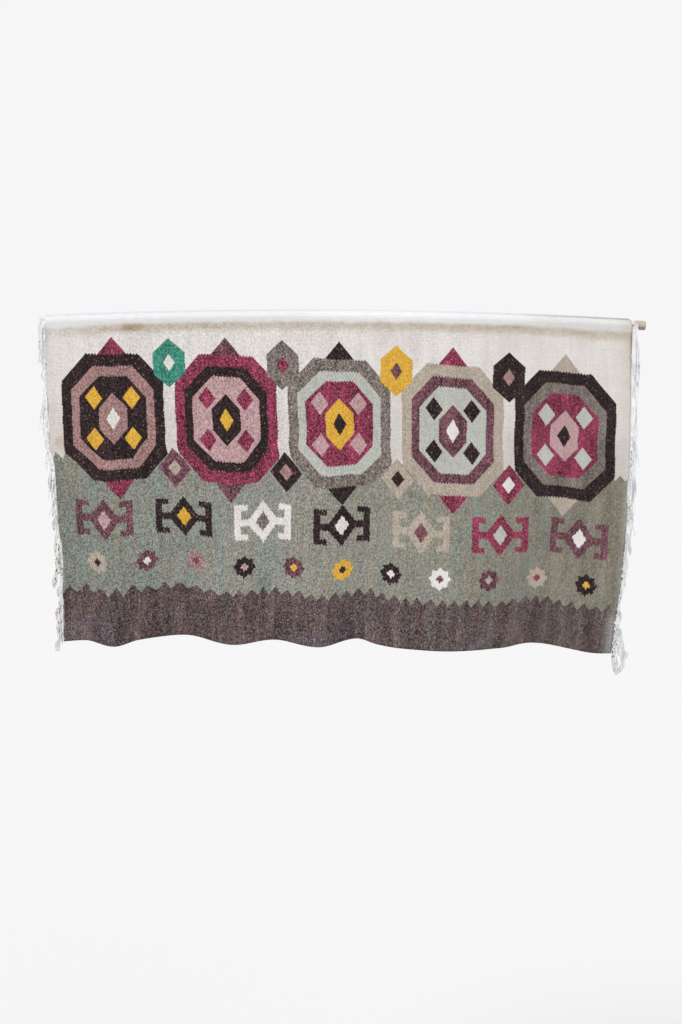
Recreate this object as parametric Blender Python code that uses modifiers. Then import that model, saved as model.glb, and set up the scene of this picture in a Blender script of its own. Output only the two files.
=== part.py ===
"""Woven kilim wall hanging on a wooden rod.

The cloth hangs from a sleeve over the rod and ruffles towards its lower selvedge.
Its warps run across, so their knotted ends make a fringe down both sides.
The origin is on the rod's axis at the middle of the cloth, +X is the viewer's right
and the front faces -Y. All sizes are in metres.
"""

import math

import bmesh
import bpy
from mathutils import Vector

# Rod
ROD_RADIUS = 0.0095
ROD_LENGTH = 1.219
ROD_RIGHT_END = 0.6285
ROD_CROWN_X = -0.080
ROD_BOW_RADIUS = 12.2
ROD_CHAMFER = 0.0012
ROD_STATIONS = 20
ROD_SIDES_RESOLUTION = 6

# Cloth
CLOTH_THICKNESS = 0.0024
ROD_CLEARANCE = 0.0005
SLEEVE_RADIUS = ROD_RADIUS + ROD_CLEARANCE + CLOTH_THICKNESS / 2
SEAM_DROP = 0.032
SEAM_BEND_RADIUS = 0.010
SEAM_HALF_GAP = 0.00145
FLAP_LENGTH = 0.007
FRONT_LENGTH = 0.655
RUFFLE_GROWTH = 1.3
CLOTH_COLUMNS = 60

# Half widths of the cloth, read at a run from the sleeve's crown down the front
EDGE_COLUMNS = ("run", "left", "right")
EDGES = (
    (0.000, 0.5975, 0.5920),
    (0.015, 0.6000, 0.5980),
    (0.030, 0.6015, 0.6015),
    (0.280, 0.6000, 0.6020),
    (0.325, 0.5900, 0.6015),
    (0.370, 0.5880, 0.6000),
    (0.445, 0.5850, 0.5975),
    (0.510, 0.5795, 0.5935),
    (0.560, 0.5785, 0.5910),
    (0.600, 0.5790, 0.5860),
    (0.640, 0.5790, 0.5785),
    (0.675, 0.5790, 0.5750),
    (0.706, 0.5790, 0.5700),
)

# Ruffles along the lower selvedge: how far forward each one swings, and how far
# below the rod's axis the selvedge hangs there
FOLD_COLUMNS = ("across", "forward", "hem")
FOLDS = (
    (0.000, 0.004, 0.679),
    (0.037, -0.004, 0.678),
    (0.093, 0.011, 0.689),
    (0.136, -0.001, 0.677),
    (0.218, -0.018, 0.669),
    (0.312, 0.011, 0.685),
    (0.383, -0.009, 0.678),
    (0.466, 0.012, 0.690),
    (0.537, -0.012, 0.676),
    (0.575, -0.002, 0.687),
    (0.615, 0.009, 0.693),
    (0.703, 0.021, 0.697),
    (0.800, 0.005, 0.693),
    (0.857, -0.017, 0.686),
    (0.984, 0.017, 0.702),
    (1.000, 0.015, 0.702),
)

# Fringe
STRIP_GAP = 0.0004
STRIP_RADIUS = 0.0013
STRAND_PITCH = 0.0145
STRAND_RADIUS = 0.0013
KNOT_RADIUS = 0.0021
TIP_RADIUS = 0.0007
KNOT_DOWN = 0.0030
NECK_OUT = 0.0018
NECK_DOWN = 0.0095
LANE_DEPTH = 0.0050
LEAN_EASE = 0.6
TAIL_STATIONS = 3
LENGTH_WOBBLE = 0.12

# Tails of each fringe, read at a share of the way down the edge: how long they hang,
# how far their tips stand out per metre of fall, and how far out the knots sit
TAIL_COLUMNS = ("down", "length", "slope", "knot")
LEFT_TAILS = (
    (0.00, 0.040, 0.15, 0.0050),
    (0.24, 0.042, 0.17, 0.0050),
    (0.33, 0.026, 0.06, 0.0040),
    (0.42, 0.026, 0.08, 0.0032),
    (0.60, 0.034, 0.12, 0.0042),
    (0.92, 0.042, 0.17, 0.0046),
    (1.00, 0.034, 0.34, 0.0046),
)
RIGHT_TAILS = (
    (0.00, 0.085, 0.10, 0.0050),
    (0.12, 0.070, 0.10, 0.0050),
    (0.50, 0.066, 0.07, 0.0050),
    (0.56, 0.036, 0.04, 0.0040),
    (0.66, 0.030, 0.02, 0.0032),
    (0.82, 0.018, 0.00, 0.0026),
    (0.88, 0.050, 0.09, 0.0036),
    (0.92, 0.075, 0.13, 0.0050),
    (1.00, 0.052, 0.11, 0.0050),
)


def read(table, columns, column, place):
    """A column of a table at a place along its first column, on a curve that never overshoots its rows."""
    index = columns.index(column)
    places = [row[0] for row in table]
    values = [row[index] for row in table]
    place = min(max(place, places[0]), places[-1])
    rises = [(values[i + 1] - values[i]) / (places[i + 1] - places[i]) for i in range(len(table) - 1)]
    slopes = [rises[0]]
    for before, after in zip(rises, rises[1:]):
        slopes.append(0.0 if before * after <= 0 else 2 * before * after / (before + after))
    slopes.append(rises[-1])
    i = max(k for k in range(len(table) - 1) if places[k] <= place)
    width = places[i + 1] - places[i]
    t = (place - places[i]) / width
    start = (2 * t**3 - 3 * t**2 + 1) * values[i] + (t**3 - 2 * t**2 + t) * width * slopes[i]
    end = (3 * t**2 - 2 * t**3) * values[i + 1] + (t**3 - t**2) * width * slopes[i + 1]
    return start + end


def rod_height(x):
    """Height of the slightly bowed rod's axis above the origin."""
    return (ROD_CROWN_X**2 - (x - ROD_CROWN_X) ** 2) / (2 * ROD_BOW_RADIUS)


def sleeve_taper():
    """Angle at which the sleeve's two sides fall from the rod to the seam."""
    across = SEAM_HALF_GAP + SEAM_BEND_RADIUS
    reach = math.hypot(across, SEAM_DROP)
    return math.asin((SLEEVE_RADIUS + SEAM_BEND_RADIUS) / reach) - math.atan2(across, SEAM_DROP)


TAPER = sleeve_taper()
ROD_ARC = SLEEVE_RADIUS * (math.pi / 2 + TAPER)
SLEEVE_SIDE = (SEAM_DROP - (SLEEVE_RADIUS + SEAM_BEND_RADIUS) * math.sin(TAPER)) / math.cos(TAPER)
SEAM_ARC = SEAM_BEND_RADIUS * TAPER
SEAM_RUN = ROD_ARC + SLEEVE_SIDE + SEAM_ARC
HEM_RUN = SEAM_RUN + FRONT_LENGTH

# Rows of the cloth, from the flap's end at the back, over the rod, to the hem
ROW_STEPS = (
    (-SEAM_RUN - FLAP_LENGTH, -SEAM_RUN + SEAM_ARC / 2, 2),
    (-SEAM_RUN + SEAM_ARC / 2, -ROD_ARC, 1),
    (-ROD_ARC, ROD_ARC, 10),
    (ROD_ARC, SEAM_RUN - SEAM_ARC, 1),
    (SEAM_RUN - SEAM_ARC, SEAM_RUN + 0.010, 2),
    (SEAM_RUN + 0.010, HEM_RUN, 16),
)


def row_runs():
    """Distance of each row from the sleeve's crown along the cloth, negative at the back."""
    runs = [ROW_STEPS[0][0]]
    for start, end, cells in ROW_STEPS:
        runs += [start + (end - start) * k / cells for k in range(1, cells + 1)]
    return runs


def sleeve_section(run):
    """How far out from the rod's axis and how high above it the cloth's middle layer lies."""
    turned = min(run, ROD_ARC)
    out = SLEEVE_RADIUS * math.sin(turned / SLEEVE_RADIUS)
    up = SLEEVE_RADIUS * math.cos(turned / SLEEVE_RADIUS)
    straight = min(max(run - ROD_ARC, 0.0), SLEEVE_SIDE)
    out -= straight * math.sin(TAPER)
    up -= straight * math.cos(TAPER)
    bent = min(max(run - ROD_ARC - SLEEVE_SIDE, 0.0), SEAM_ARC) / SEAM_BEND_RADIUS
    out -= SEAM_BEND_RADIUS * (math.cos(TAPER - bent) - math.cos(TAPER))
    up -= SEAM_BEND_RADIUS * (math.sin(TAPER) - math.sin(TAPER - bent))
    return out, up - max(run - SEAM_RUN, 0.0)


def cloth_point(across, run):
    """The cloth's middle layer at a share of its width and a run from the sleeve's crown."""
    left = -read(EDGES, EDGE_COLUMNS, "left", abs(run))
    right = read(EDGES, EDGE_COLUMNS, "right", abs(run))
    x = left + (right - left) * across
    out, up = sleeve_section(abs(run))
    if run < 0:
        return Vector((x, out, rod_height(x) + up))
    fallen = max(run - SEAM_RUN, 0.0) / FRONT_LENGTH
    hem = read(FOLDS, FOLD_COLUMNS, "hem", across) + rod_height(x)
    forward = out + read(FOLDS, FOLD_COLUMNS, "forward", across) * fallen**RUFFLE_GROWTH
    stretch = (hem - SEAM_DROP - FRONT_LENGTH) * fallen
    return Vector((x, -forward, rod_height(x) + up - stretch))


def material(name, colour, roughness):
    """A plain Principled material."""
    made = bpy.data.materials.new(name)
    made.use_nodes = True
    shader = made.node_tree.nodes["Principled BSDF"]
    shader.inputs["Base Color"].default_value = (*colour, 1.0)
    shader.inputs["Roughness"].default_value = roughness
    shader.inputs["Metallic"].default_value = 0.0
    return made


def clear_scene():
    """Removes whatever the scene holds."""
    for found in list(bpy.data.objects):
        bpy.data.objects.remove(found, do_unlink=True)


def collection(name):
    """A new collection in the scene."""
    made = bpy.data.collections.new(name)
    bpy.context.scene.collection.children.link(made)
    return made


def move_to(target, made):
    """Puts an object in one collection only."""
    for home in list(made.users_collection):
        home.objects.unlink(made)
    target.objects.link(made)


def make_cloth(parts):
    """The panel with its sleeve: one sheet from the flap's end, over the rod, to the hem."""
    runs = row_runs()
    bpy.ops.mesh.primitive_grid_add(x_subdivisions=CLOTH_COLUMNS, y_subdivisions=len(runs) - 1, size=1.0)
    cloth = bpy.context.object
    cloth.name = "cloth"
    for vertex in cloth.data.vertices:
        row = round((vertex.co.y + 0.5) * (len(runs) - 1))
        vertex.co = cloth_point(vertex.co.x + 0.5, runs[row])
    cloth.data.shade_smooth()
    thicken = cloth.modifiers.new("Thickness", "SOLIDIFY")
    thicken.thickness = CLOTH_THICKNESS
    thicken.offset = 0.0
    thicken.use_even_offset = True
    cloth.data.materials.append(material("kilim_weave", (0.55, 0.52, 0.47), 0.9))
    move_to(parts, cloth)


def new_curve(name, depth, resolution, target):
    """An empty curve object that becomes round tubes with closed ends."""
    data = bpy.data.curves.new(name, "CURVE")
    data.dimensions = "3D"
    data.bevel_depth = depth
    data.bevel_resolution = resolution
    data.use_fill_caps = True
    made = bpy.data.objects.new(name, data)
    target.objects.link(made)
    return made


def add_tube(curve, stations):
    """Adds one tube through stations, each a place and a radius in metres."""
    spline = curve.data.splines.new("POLY")
    spline.points.add(len(stations) - 1)
    for point, (place, radius) in zip(spline.points, stations):
        point.co = (*place, 1.0)
        point.radius = radius / curve.data.bevel_depth


def make_rod(parts):
    """The dowel, bowed a little, with a chamfer round each flat end."""
    rod = new_curve("rod", ROD_RADIUS, ROD_SIDES_RESOLUTION, parts)
    left_end = ROD_RIGHT_END - ROD_LENGTH
    inner_left = left_end + ROD_CHAMFER
    inner_right = ROD_RIGHT_END - ROD_CHAMFER
    places = [inner_left + (inner_right - inner_left) * k / ROD_STATIONS for k in range(ROD_STATIONS + 1)]
    stations = [(left_end, ROD_RADIUS - ROD_CHAMFER)]
    stations += [(x, ROD_RADIUS) for x in places]
    stations += [(ROD_RIGHT_END, ROD_RADIUS - ROD_CHAMFER)]
    add_tube(rod, [(Vector((x, 0.0, rod_height(x))), radius) for x, radius in stations])
    rod.data.materials.append(material("rod_wood", (0.62, 0.47, 0.32), 0.6))


def strip_places(side, runs):
    """The middle of the strip that holds a fringe's roots, beside each row of the cloth's edge."""
    outward = Vector((side * (STRIP_GAP + STRIP_RADIUS), 0.0, 0.0))
    return [cloth_point((side + 1) / 2, run) + outward for run in runs]


def between(places, runs, run):
    """A place on the straight stretch between two rows."""
    i = max(k for k in range(len(runs) - 1) if runs[k] <= run)
    return places[i].lerp(places[i + 1], (run - runs[i]) / (runs[i + 1] - runs[i]))


def strand_stations(side, root, length, slope, knot, reach):
    """A bundle of warp ends: its root in the strip, its knot, and its tail hanging down and out."""
    def station(out, down, forward, radius):
        return root + Vector((side * out, -forward, -down)), radius

    stations = [
        station(0.0, 0.0, 0.0, STRAND_RADIUS * 0.9),
        station(knot, KNOT_DOWN, reach * 0.7, KNOT_RADIUS),
        station(knot + NECK_OUT, NECK_DOWN, reach, STRAND_RADIUS),
    ]
    for k in range(1, TAIL_STATIONS + 1):
        share = k / TAIL_STATIONS
        fall = (length - NECK_DOWN) * share
        radius = STRAND_RADIUS + (TIP_RADIUS - STRAND_RADIUS) * share**3
        stations.append(station(knot + NECK_OUT + fall * slope, NECK_DOWN + fall, reach, radius))
    return stations


def mesh_from(curve, name, target):
    """A curve's tubes as a mesh object with their end caps welded on."""
    evaluated = curve.evaluated_get(bpy.context.evaluated_depsgraph_get())
    mesh = bpy.data.meshes.new_from_object(evaluated)
    work = bmesh.new()
    work.from_mesh(mesh)
    bmesh.ops.remove_doubles(work, verts=work.verts, dist=0.00001)
    work.to_mesh(mesh)
    work.free()
    made = bpy.data.objects.new(name, mesh)
    made.matrix_world = curve.matrix_world
    target.objects.link(made)
    bpy.data.objects.remove(curve, do_unlink=True)
    return made


def make_fringe(name, side, tails, parts, cutters):
    """One side's fringe: the strip along the cloth's edge and the strands joined to it."""
    strip = new_curve(name + "_strip_path", STRIP_RADIUS, 0, parts)
    runs = [run for run in row_runs() if run > ROD_ARC - STRIP_GAP]
    places = strip_places(side, runs)
    add_tube(strip, [(place, STRIP_RADIUS) for place in places])
    strands = new_curve(name + "_strand_paths", STRAND_RADIUS, 0, cutters)
    first = runs[0] + STRAND_PITCH * 0.4
    count = int((HEM_RUN - KNOT_RADIUS - first) / STRAND_PITCH) + 1
    for k in range(count):
        run = first + k * STRAND_PITCH
        root = between(places, runs, run)
        down = k / (count - 1)
        length, slope, knot = (read(tails, TAIL_COLUMNS, column, down) for column in TAIL_COLUMNS[1:])
        length *= 1 + LENGTH_WOBBLE * math.sin(2.4 * k + side)
        # Tails hang by turns in two planes, and fall back a little where their roots lean over the rod
        lean = sleeve_section(run)[0] - SEAM_HALF_GAP
        reach = LANE_DEPTH * ((k + 1) % 2) - LEAN_EASE * lean
        add_tube(strands, strand_stations(side, root, length, slope, knot, reach))
    bpy.context.view_layer.update()
    fringe = mesh_from(strip, name, parts)
    locks = mesh_from(strands, name + "_strands", cutters)
    locks.hide_render = True
    locks.display_type = "WIRE"
    union = fringe.modifiers.new("Strands", "BOOLEAN")
    union.operation = "UNION"
    union.solver = "EXACT"
    union.object = locks
    fringe.data.materials.append(material("fringe_cotton", (0.82, 0.82, 0.84), 0.85))


def build():
    clear_scene()
    parts = collection("woven_wall_hanging")
    cutters = collection("cutters")
    make_cloth(parts)
    make_rod(parts)
    make_fringe("fringe_left", -1, LEFT_TAILS, parts, cutters)
    make_fringe("fringe_right", 1, RIGHT_TAILS, parts, cutters)


build()
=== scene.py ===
"""Looks of a woven wall hanging: its cloth, its knotted side fringes and its rod.

Sizes are in metres, +X is the viewer's right, +Z is up and the front faces -Y. The cloth's own
coordinates are u, across it from its middle, and run, down it from the crown of its sleeve.
"""

import math
import random

import bpy
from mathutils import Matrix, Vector


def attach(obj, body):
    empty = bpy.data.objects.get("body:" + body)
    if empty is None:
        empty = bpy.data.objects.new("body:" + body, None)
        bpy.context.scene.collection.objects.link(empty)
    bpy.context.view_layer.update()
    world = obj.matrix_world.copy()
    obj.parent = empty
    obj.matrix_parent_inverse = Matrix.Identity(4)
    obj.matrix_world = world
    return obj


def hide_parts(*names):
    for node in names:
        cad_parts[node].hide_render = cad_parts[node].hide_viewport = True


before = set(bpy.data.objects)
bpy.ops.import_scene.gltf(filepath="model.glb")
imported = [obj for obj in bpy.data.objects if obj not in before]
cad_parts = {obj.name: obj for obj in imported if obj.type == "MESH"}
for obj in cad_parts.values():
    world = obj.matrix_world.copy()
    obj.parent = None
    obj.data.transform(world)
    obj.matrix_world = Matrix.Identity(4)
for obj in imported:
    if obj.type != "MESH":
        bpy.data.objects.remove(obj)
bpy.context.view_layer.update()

# Rod and cloth, as the solids have them
ROD_RADIUS = 0.0095
ROD_LENGTH = 1.219
ROD_RIGHT_END = 0.6285
ROD_CROWN_X = -0.080
ROD_BOW_RADIUS = 12.2
CLOTH_WIDTH = 1.203
CLOTH_THICKNESS = 0.0024
SLEEVE_RADIUS = 0.0112
SEAM_DROP = 0.032
SEAM_BEND_RADIUS = 0.030
SEAM_HALF_GAP = 0.00145
FLAP_LENGTH = 0.007
FRONT_LENGTH = 0.655
RUFFLE_GROWTH = 1.3

EDGE_COLUMNS = ("run", "left", "right")
EDGES = (
    (0.000, 0.5975, 0.5920),
    (0.015, 0.6000, 0.5980),
    (0.030, 0.6015, 0.6015),
    (0.280, 0.6000, 0.6020),
    (0.325, 0.5900, 0.6015),
    (0.370, 0.5880, 0.6000),
    (0.445, 0.5850, 0.5975),
    (0.510, 0.5795, 0.5935),
    (0.560, 0.5785, 0.5910),
    (0.600, 0.5790, 0.5860),
    (0.640, 0.5790, 0.5785),
    (0.675, 0.5790, 0.5750),
    (0.706, 0.5790, 0.5700),
)
FOLD_COLUMNS = ("across", "forward", "hem")
FOLDS = (
    (0.000, 0.004, 0.679),
    (0.037, -0.004, 0.678),
    (0.093, 0.011, 0.689),
    (0.136, -0.001, 0.677),
    (0.218, -0.018, 0.669),
    (0.312, 0.011, 0.685),
    (0.383, -0.009, 0.678),
    (0.466, 0.012, 0.690),
    (0.537, -0.012, 0.676),
    (0.575, -0.002, 0.687),
    (0.615, 0.009, 0.693),
    (0.703, 0.021, 0.697),
    (0.800, 0.005, 0.693),
    (0.857, -0.017, 0.686),
    (0.984, 0.017, 0.702),
    (1.000, 0.015, 0.702),
)

# Knotted bundles of warp ends
STRAND_PITCH = 0.0145
KNOT_DOWN = 0.0030
LANE_DEPTH = 0.0050
TAIL_COLUMNS = ("down", "length", "width", "knot", "fan", "weave")
LEFT_TAILS = (
    (0.00, 0.070, 0.0150, 0.0050, 0.0030, 0.0),
    (0.05, 0.050, 0.0150, 0.0050, 0.0030, 0.0),
    (0.11, 0.035, 0.0085, 0.0045, 0.0024, 0.0),
    (0.17, 0.030, 0.0090, 0.0045, 0.0022, 0.0),
    (0.21, 0.060, 0.0150, 0.0045, 0.0026, 0.0),
    (0.26, 0.055, 0.0155, 0.0045, 0.0026, 0.0),
    (0.31, 0.030, 0.0060, 0.0040, 0.0020, 0.0),
    (0.38, 0.040, 0.0080, 0.0040, 0.0020, 0.0),
    (0.45, 0.050, 0.0130, 0.0040, 0.0026, 0.0),
    (0.52, 0.035, 0.0100, 0.0040, 0.0024, 0.0),
    (0.62, 0.038, 0.0115, 0.0040, 0.0026, 0.0),
    (0.72, 0.045, 0.0120, 0.0045, 0.0028, 0.0),
    (0.76, 0.040, 0.0230, 0.0050, 0.0032, 0.0),
    (0.81, 0.040, 0.0125, 0.0045, 0.0030, 0.0),
    (0.90, 0.045, 0.0150, 0.0050, 0.0034, 0.0),
    (1.00, 0.037, 0.0155, 0.0050, 0.0032, 0.0),
)
RIGHT_TAILS = (
    (0.00, 0.105, 0.0125, 0.0050, 0.0028, 0.0),
    (0.42, 0.075, 0.0125, 0.0050, 0.0028, 0.0),
    (0.50, 0.050, 0.0115, 0.0045, 0.0024, 0.0),
    (0.62, 0.045, 0.0115, 0.0025, 0.0024, 0.0),
    (0.70, 0.038, 0.0095, 0.0005, 0.0024, 0.0),
    (0.76, 0.026, 0.0050, -0.0020, 0.0018, 0.0),
    (0.83, 0.028, 0.0015, -0.0025, 0.0016, 0.0),
    (0.87, 0.040, 0.0100, -0.0020, 0.0026, 0.4),
    (0.91, 0.060, 0.0210, -0.0010, 0.0036, 0.9),
    (0.96, 0.052, 0.0275, 0.0000, 0.0040, 1.0),
    (1.00, 0.050, 0.0270, 0.0000, 0.0038, 0.8),
)

# Down a tail: how much of its fall, and there its fan, how far it is in its lane and its bow
FALL = (
    (0.16, 0.55, 0.45, 0.2),
    (0.32, 0.85, 0.80, 0.6),
    (0.56, 1.00, 1.00, 1.0),
    (0.80, 0.80, 1.00, 0.3),
    (1.00, 0.50, 0.95, -0.3),
)
LANES = (0.35, 0.95, 0.60, 0.20, 0.80)
STRAY_SHARE = 0.05
STRAY_REACH = 0.008

# Bundles that leave the sleeve and hang past the rod's end
SLEEVE_BUNDLES = (0.004, 0.013)
SLEEVE_LANE = 0.0105
SLEEVE_KNOT_OUT = 0.0102
SLEEVE_KNOT_DOWN = 0.005
SLEEVE_KNOT_AHEAD = 0.0135

# A loop of yarn that the right fringe ends in, across and above the cloth's corner
LOOP = (
    (0.0060, 0.0560),
    (0.0150, 0.0400),
    (0.0205, 0.0200),
    (0.0232, -0.0040),
    (0.0232, -0.0230),
    (0.0175, -0.0350),
    (0.0100, -0.0355),
    (0.0058, -0.0220),
    (0.0052, 0.0020),
    (0.0062, 0.0240),
)
LOOP_PLIES = 14
LOOP_WIDTH = 0.0090

# Weave
WARP_PITCH = 0.0028
WEFT_PITCH = 0.0020
TOOTH = 0.00305
DRIFT = 0.040

# Toothed edges of the grounds and rows of figures: how far down the cloth they are, and their pitch
SAGE_TIPS = 0.2945
SAGE_TIP_PITCH = 0.0206
PLUM_TIPS = 0.5745
PLUM_TIP_PITCH = 0.0258
MEDALLION_ROW = 0.222
MEDALLION_PITCH = 0.2335
HIGH_JEWEL_ROW = 0.106
LOW_JEWEL_ROW = 0.330
HORN_ROW = 0.436
HORN_PITCH = 0.168
STAR_ROW = 0.530
STAR_PITCH = 0.105

# Marks on the cloth, across and down it
STAIN = (-0.426, 0.038)
WORN_PATCH = (-0.578, 0.276)

# Yarn of the fringes, and the thread that holds the sleeve's flap
PLIES = 8
YARN_RADIUS = 0.00070
STITCH_PITCH = 0.0110
STITCH_LENGTH = 0.0068
STITCH_RADIUS = 0.00045
STITCH_ARCH = ((0.0, -0.0006), (0.15, 0.0003), (0.5, 0.0006), (0.85, 0.0003), (1.0, -0.0006))

# How far the rod's ends are eased, at each distance from the end
ROD_EASE = ((0.0, 0.0020), (0.0003, 0.0011), (0.0008, 0.0005), (0.0015, 0.0001), (0.0022, 0.0))

# Lights: name, strength, and in degrees spread, elevation and turn from the front
SUNS = (("window", 1.60, 30, 53, -42), ("ceiling", 0.40, 60, 40, 50))
ROOM_LIGHT = 0.55
FLOOR_HEIGHT = -2.5
CAMERA_PLACE = (0.0041, -2.9429, -0.0441)
CAMERA_TILT = 83.0
CAMERA_LENS = 50.0


def read(table, columns, column, at):
    """A column of a table at a place along its first column, on a curve that never overshoots its rows."""
    index = columns.index(column)
    places = [row[0] for row in table]
    values = [row[index] for row in table]
    at = min(max(at, places[0]), places[-1])
    rises = [(values[i + 1] - values[i]) / (places[i + 1] - places[i]) for i in range(len(table) - 1)]
    slopes = [rises[0]]
    for before, after in zip(rises, rises[1:]):
        slopes.append(0.0 if before * after <= 0 else 2 * before * after / (before + after))
    slopes.append(rises[-1])
    i = max(k for k in range(len(table) - 1) if places[k] <= at)
    width = places[i + 1] - places[i]
    t = (at - places[i]) / width
    start = (2 * t**3 - 3 * t**2 + 1) * values[i] + (t**3 - 2 * t**2 + t) * width * slopes[i]
    end = (3 * t**2 - 2 * t**3) * values[i + 1] + (t**3 - t**2) * width * slopes[i + 1]
    return start + end


def rod_height(x):
    """Height of the slightly bowed rod's axis above the origin."""
    return (ROD_CROWN_X**2 - (x - ROD_CROWN_X) ** 2) / (2 * ROD_BOW_RADIUS)


def sleeve_taper():
    """Angle at which the sleeve's two sides fall from the rod to the seam."""
    across = SEAM_HALF_GAP + SEAM_BEND_RADIUS
    reach = math.hypot(across, SEAM_DROP)
    return math.asin((SLEEVE_RADIUS + SEAM_BEND_RADIUS) / reach) - math.atan2(across, SEAM_DROP)


TAPER = sleeve_taper()
ROD_ARC = SLEEVE_RADIUS * (math.pi / 2 + TAPER)
SLEEVE_SIDE = (SEAM_DROP - (SLEEVE_RADIUS + SEAM_BEND_RADIUS) * math.sin(TAPER)) / math.cos(TAPER)
SEAM_ARC = SEAM_BEND_RADIUS * TAPER
SEAM_RUN = ROD_ARC + SLEEVE_SIDE + SEAM_ARC
HEM_RUN = SEAM_RUN + FRONT_LENGTH
CLOTH_LENGTH = HEM_RUN + SEAM_RUN + FLAP_LENGTH

# Rows of the cloth, from the flap's end at the back, over the rod, to the hem
CLOTH_COLUMNS = 230
ROW_STEPS = (
    (-SEAM_RUN - FLAP_LENGTH, -SEAM_RUN, 3),
    (-SEAM_RUN, -ROD_ARC, 8),
    (-ROD_ARC, ROD_ARC, 22),
    (ROD_ARC, SEAM_RUN, 10),
    (SEAM_RUN, HEM_RUN, 116),
)


def row_runs():
    """Distance of each row from the sleeve's crown along the cloth, negative at the back."""
    runs = [ROW_STEPS[0][0]]
    for start, end, cells in ROW_STEPS:
        runs += [start + (end - start) * k / cells for k in range(1, cells + 1)]
    return runs


def sleeve_section(run):
    """How far out from the rod's axis and how high above it the cloth's middle layer lies."""
    turned = min(run, ROD_ARC)
    out = SLEEVE_RADIUS * math.sin(turned / SLEEVE_RADIUS)
    up = SLEEVE_RADIUS * math.cos(turned / SLEEVE_RADIUS)
    straight = min(max(run - ROD_ARC, 0.0), SLEEVE_SIDE)
    out -= straight * math.sin(TAPER)
    up -= straight * math.cos(TAPER)
    bent = min(max(run - ROD_ARC - SLEEVE_SIDE, 0.0), SEAM_ARC) / SEAM_BEND_RADIUS
    out -= SEAM_BEND_RADIUS * (math.cos(TAPER - bent) - math.cos(TAPER))
    up -= SEAM_BEND_RADIUS * (math.sin(TAPER) - math.sin(TAPER - bent))
    return out, up - max(run - SEAM_RUN, 0.0)


def cloth_row(run, shares):
    """The cloth's middle layer along one row, at each share of the width with its ruffle and hem."""
    left = -read(EDGES, EDGE_COLUMNS, "left", abs(run))
    right = read(EDGES, EDGE_COLUMNS, "right", abs(run))
    out, up = sleeve_section(abs(run))
    fallen = max(run - SEAM_RUN, 0.0) / FRONT_LENGTH
    grown = fallen**RUFFLE_GROWTH
    row = []
    for across, forward, hem in shares:
        x = left + (right - left) * across
        high = rod_height(x)
        stretch = (hem + high - SEAM_DROP - FRONT_LENGTH) * fallen
        y = out if run < 0 else -(out + forward * grown)
        row.append(Vector((x, y, high + up - stretch)))
    return row


def share_of(across):
    """A share of the width with the ruffle and the hem that hang there."""
    return across, read(FOLDS, FOLD_COLUMNS, "forward", across), read(FOLDS, FOLD_COLUMNS, "hem", across)


def wave(at, *parts):
    """A sum of sines at a place, each part a height, a wavelength and a phase."""
    return sum(height * math.sin(math.tau * at / length + phase) for height, length, phase in parts)


def relief(u, run):
    """How far the cloth stands proud of its main folds: soft buckles, and puckers under the seam."""
    below = run - SEAM_RUN
    if below <= 0.0:
        return wave(u, (0.00012, 0.031, 0.4), (0.00010, 0.013, 1.9)) if abs(run) > ROD_ARC else 0.0
    ease = min(below / 0.05, 1.0)
    buckles = wave(u + 0.25 * run, (0.0009, 0.143, 0.3), (0.0006, 0.061, 2.1))
    buckles *= wave(run + 0.12 * u, (0.6, 0.39, 1.1), (0.4, 0.17, 4.0)) * 1.2
    ripple = wave(run - 0.06 * u, (0.00035, 0.071, 0.8), (0.00020, 0.033, 2.6))
    puckers = wave(u, (0.0006, 0.029, 0.2), (0.0005, 0.047, 1.4)) * math.exp(-below / 0.045)
    return (buckles + ripple) * ease + puckers * min(below / 0.006, 1.0)


def srgb(red, green, blue):
    """A colour given in 0 to 255 as the eye reads it, as the linear one that shaders take."""
    def linear(value):
        value /= 255
        return value / 12.92 if value <= 0.04045 else ((value + 0.055) / 1.055) ** 2.4

    return linear(red), linear(green), linear(blue), 1.0


class Term:
    """A number in a node tree, a socket or a plain one, that Python's operators combine with Math nodes."""

    tree = None

    def __init__(self, source):
        self.source = source

    @classmethod
    def math(cls, operation, *parts):
        made = cls.tree.nodes.new("ShaderNodeMath")
        made.operation = operation
        for pin, part in zip(made.inputs, parts):
            plug(pin, part)
        return cls(made.outputs[0])

    def __add__(self, other):
        return Term.math("ADD", self, other)

    def __radd__(self, other):
        return Term.math("ADD", other, self)

    def __sub__(self, other):
        return Term.math("SUBTRACT", self, other)

    def __rsub__(self, other):
        return Term.math("SUBTRACT", other, self)

    def __mul__(self, other):
        return Term.math("MULTIPLY", self, other)

    def __rmul__(self, other):
        return Term.math("MULTIPLY", other, self)

    def __truediv__(self, other):
        return Term.math("DIVIDE", self, other)

    def __mod__(self, other):
        return Term.math("FLOORED_MODULO", self, other)

    def __abs__(self):
        return Term.math("ABSOLUTE", self)

    def __lt__(self, other):
        return Term.math("LESS_THAN", self, other)

    def __gt__(self, other):
        return Term.math("GREATER_THAN", self, other)

    def __and__(self, other):
        return Term.math("MULTIPLY", self, other)

    def __or__(self, other):
        return Term.math("MAXIMUM", self, other)


def plug(pin, part):
    """Gives a pin a value: a term, a socket or a plain one."""
    part = part.source if isinstance(part, Term) else part
    if isinstance(part, bpy.types.NodeSocket):
        Term.tree.links.new(part, pin)
    else:
        pin.default_value = part


def floor(term):
    return Term.math("FLOOR", term)


def saw(term):
    """A zigzag from 1 at whole numbers down to 0 halfway between them."""
    return abs((term % 1.0) - 0.5) * 2


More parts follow.
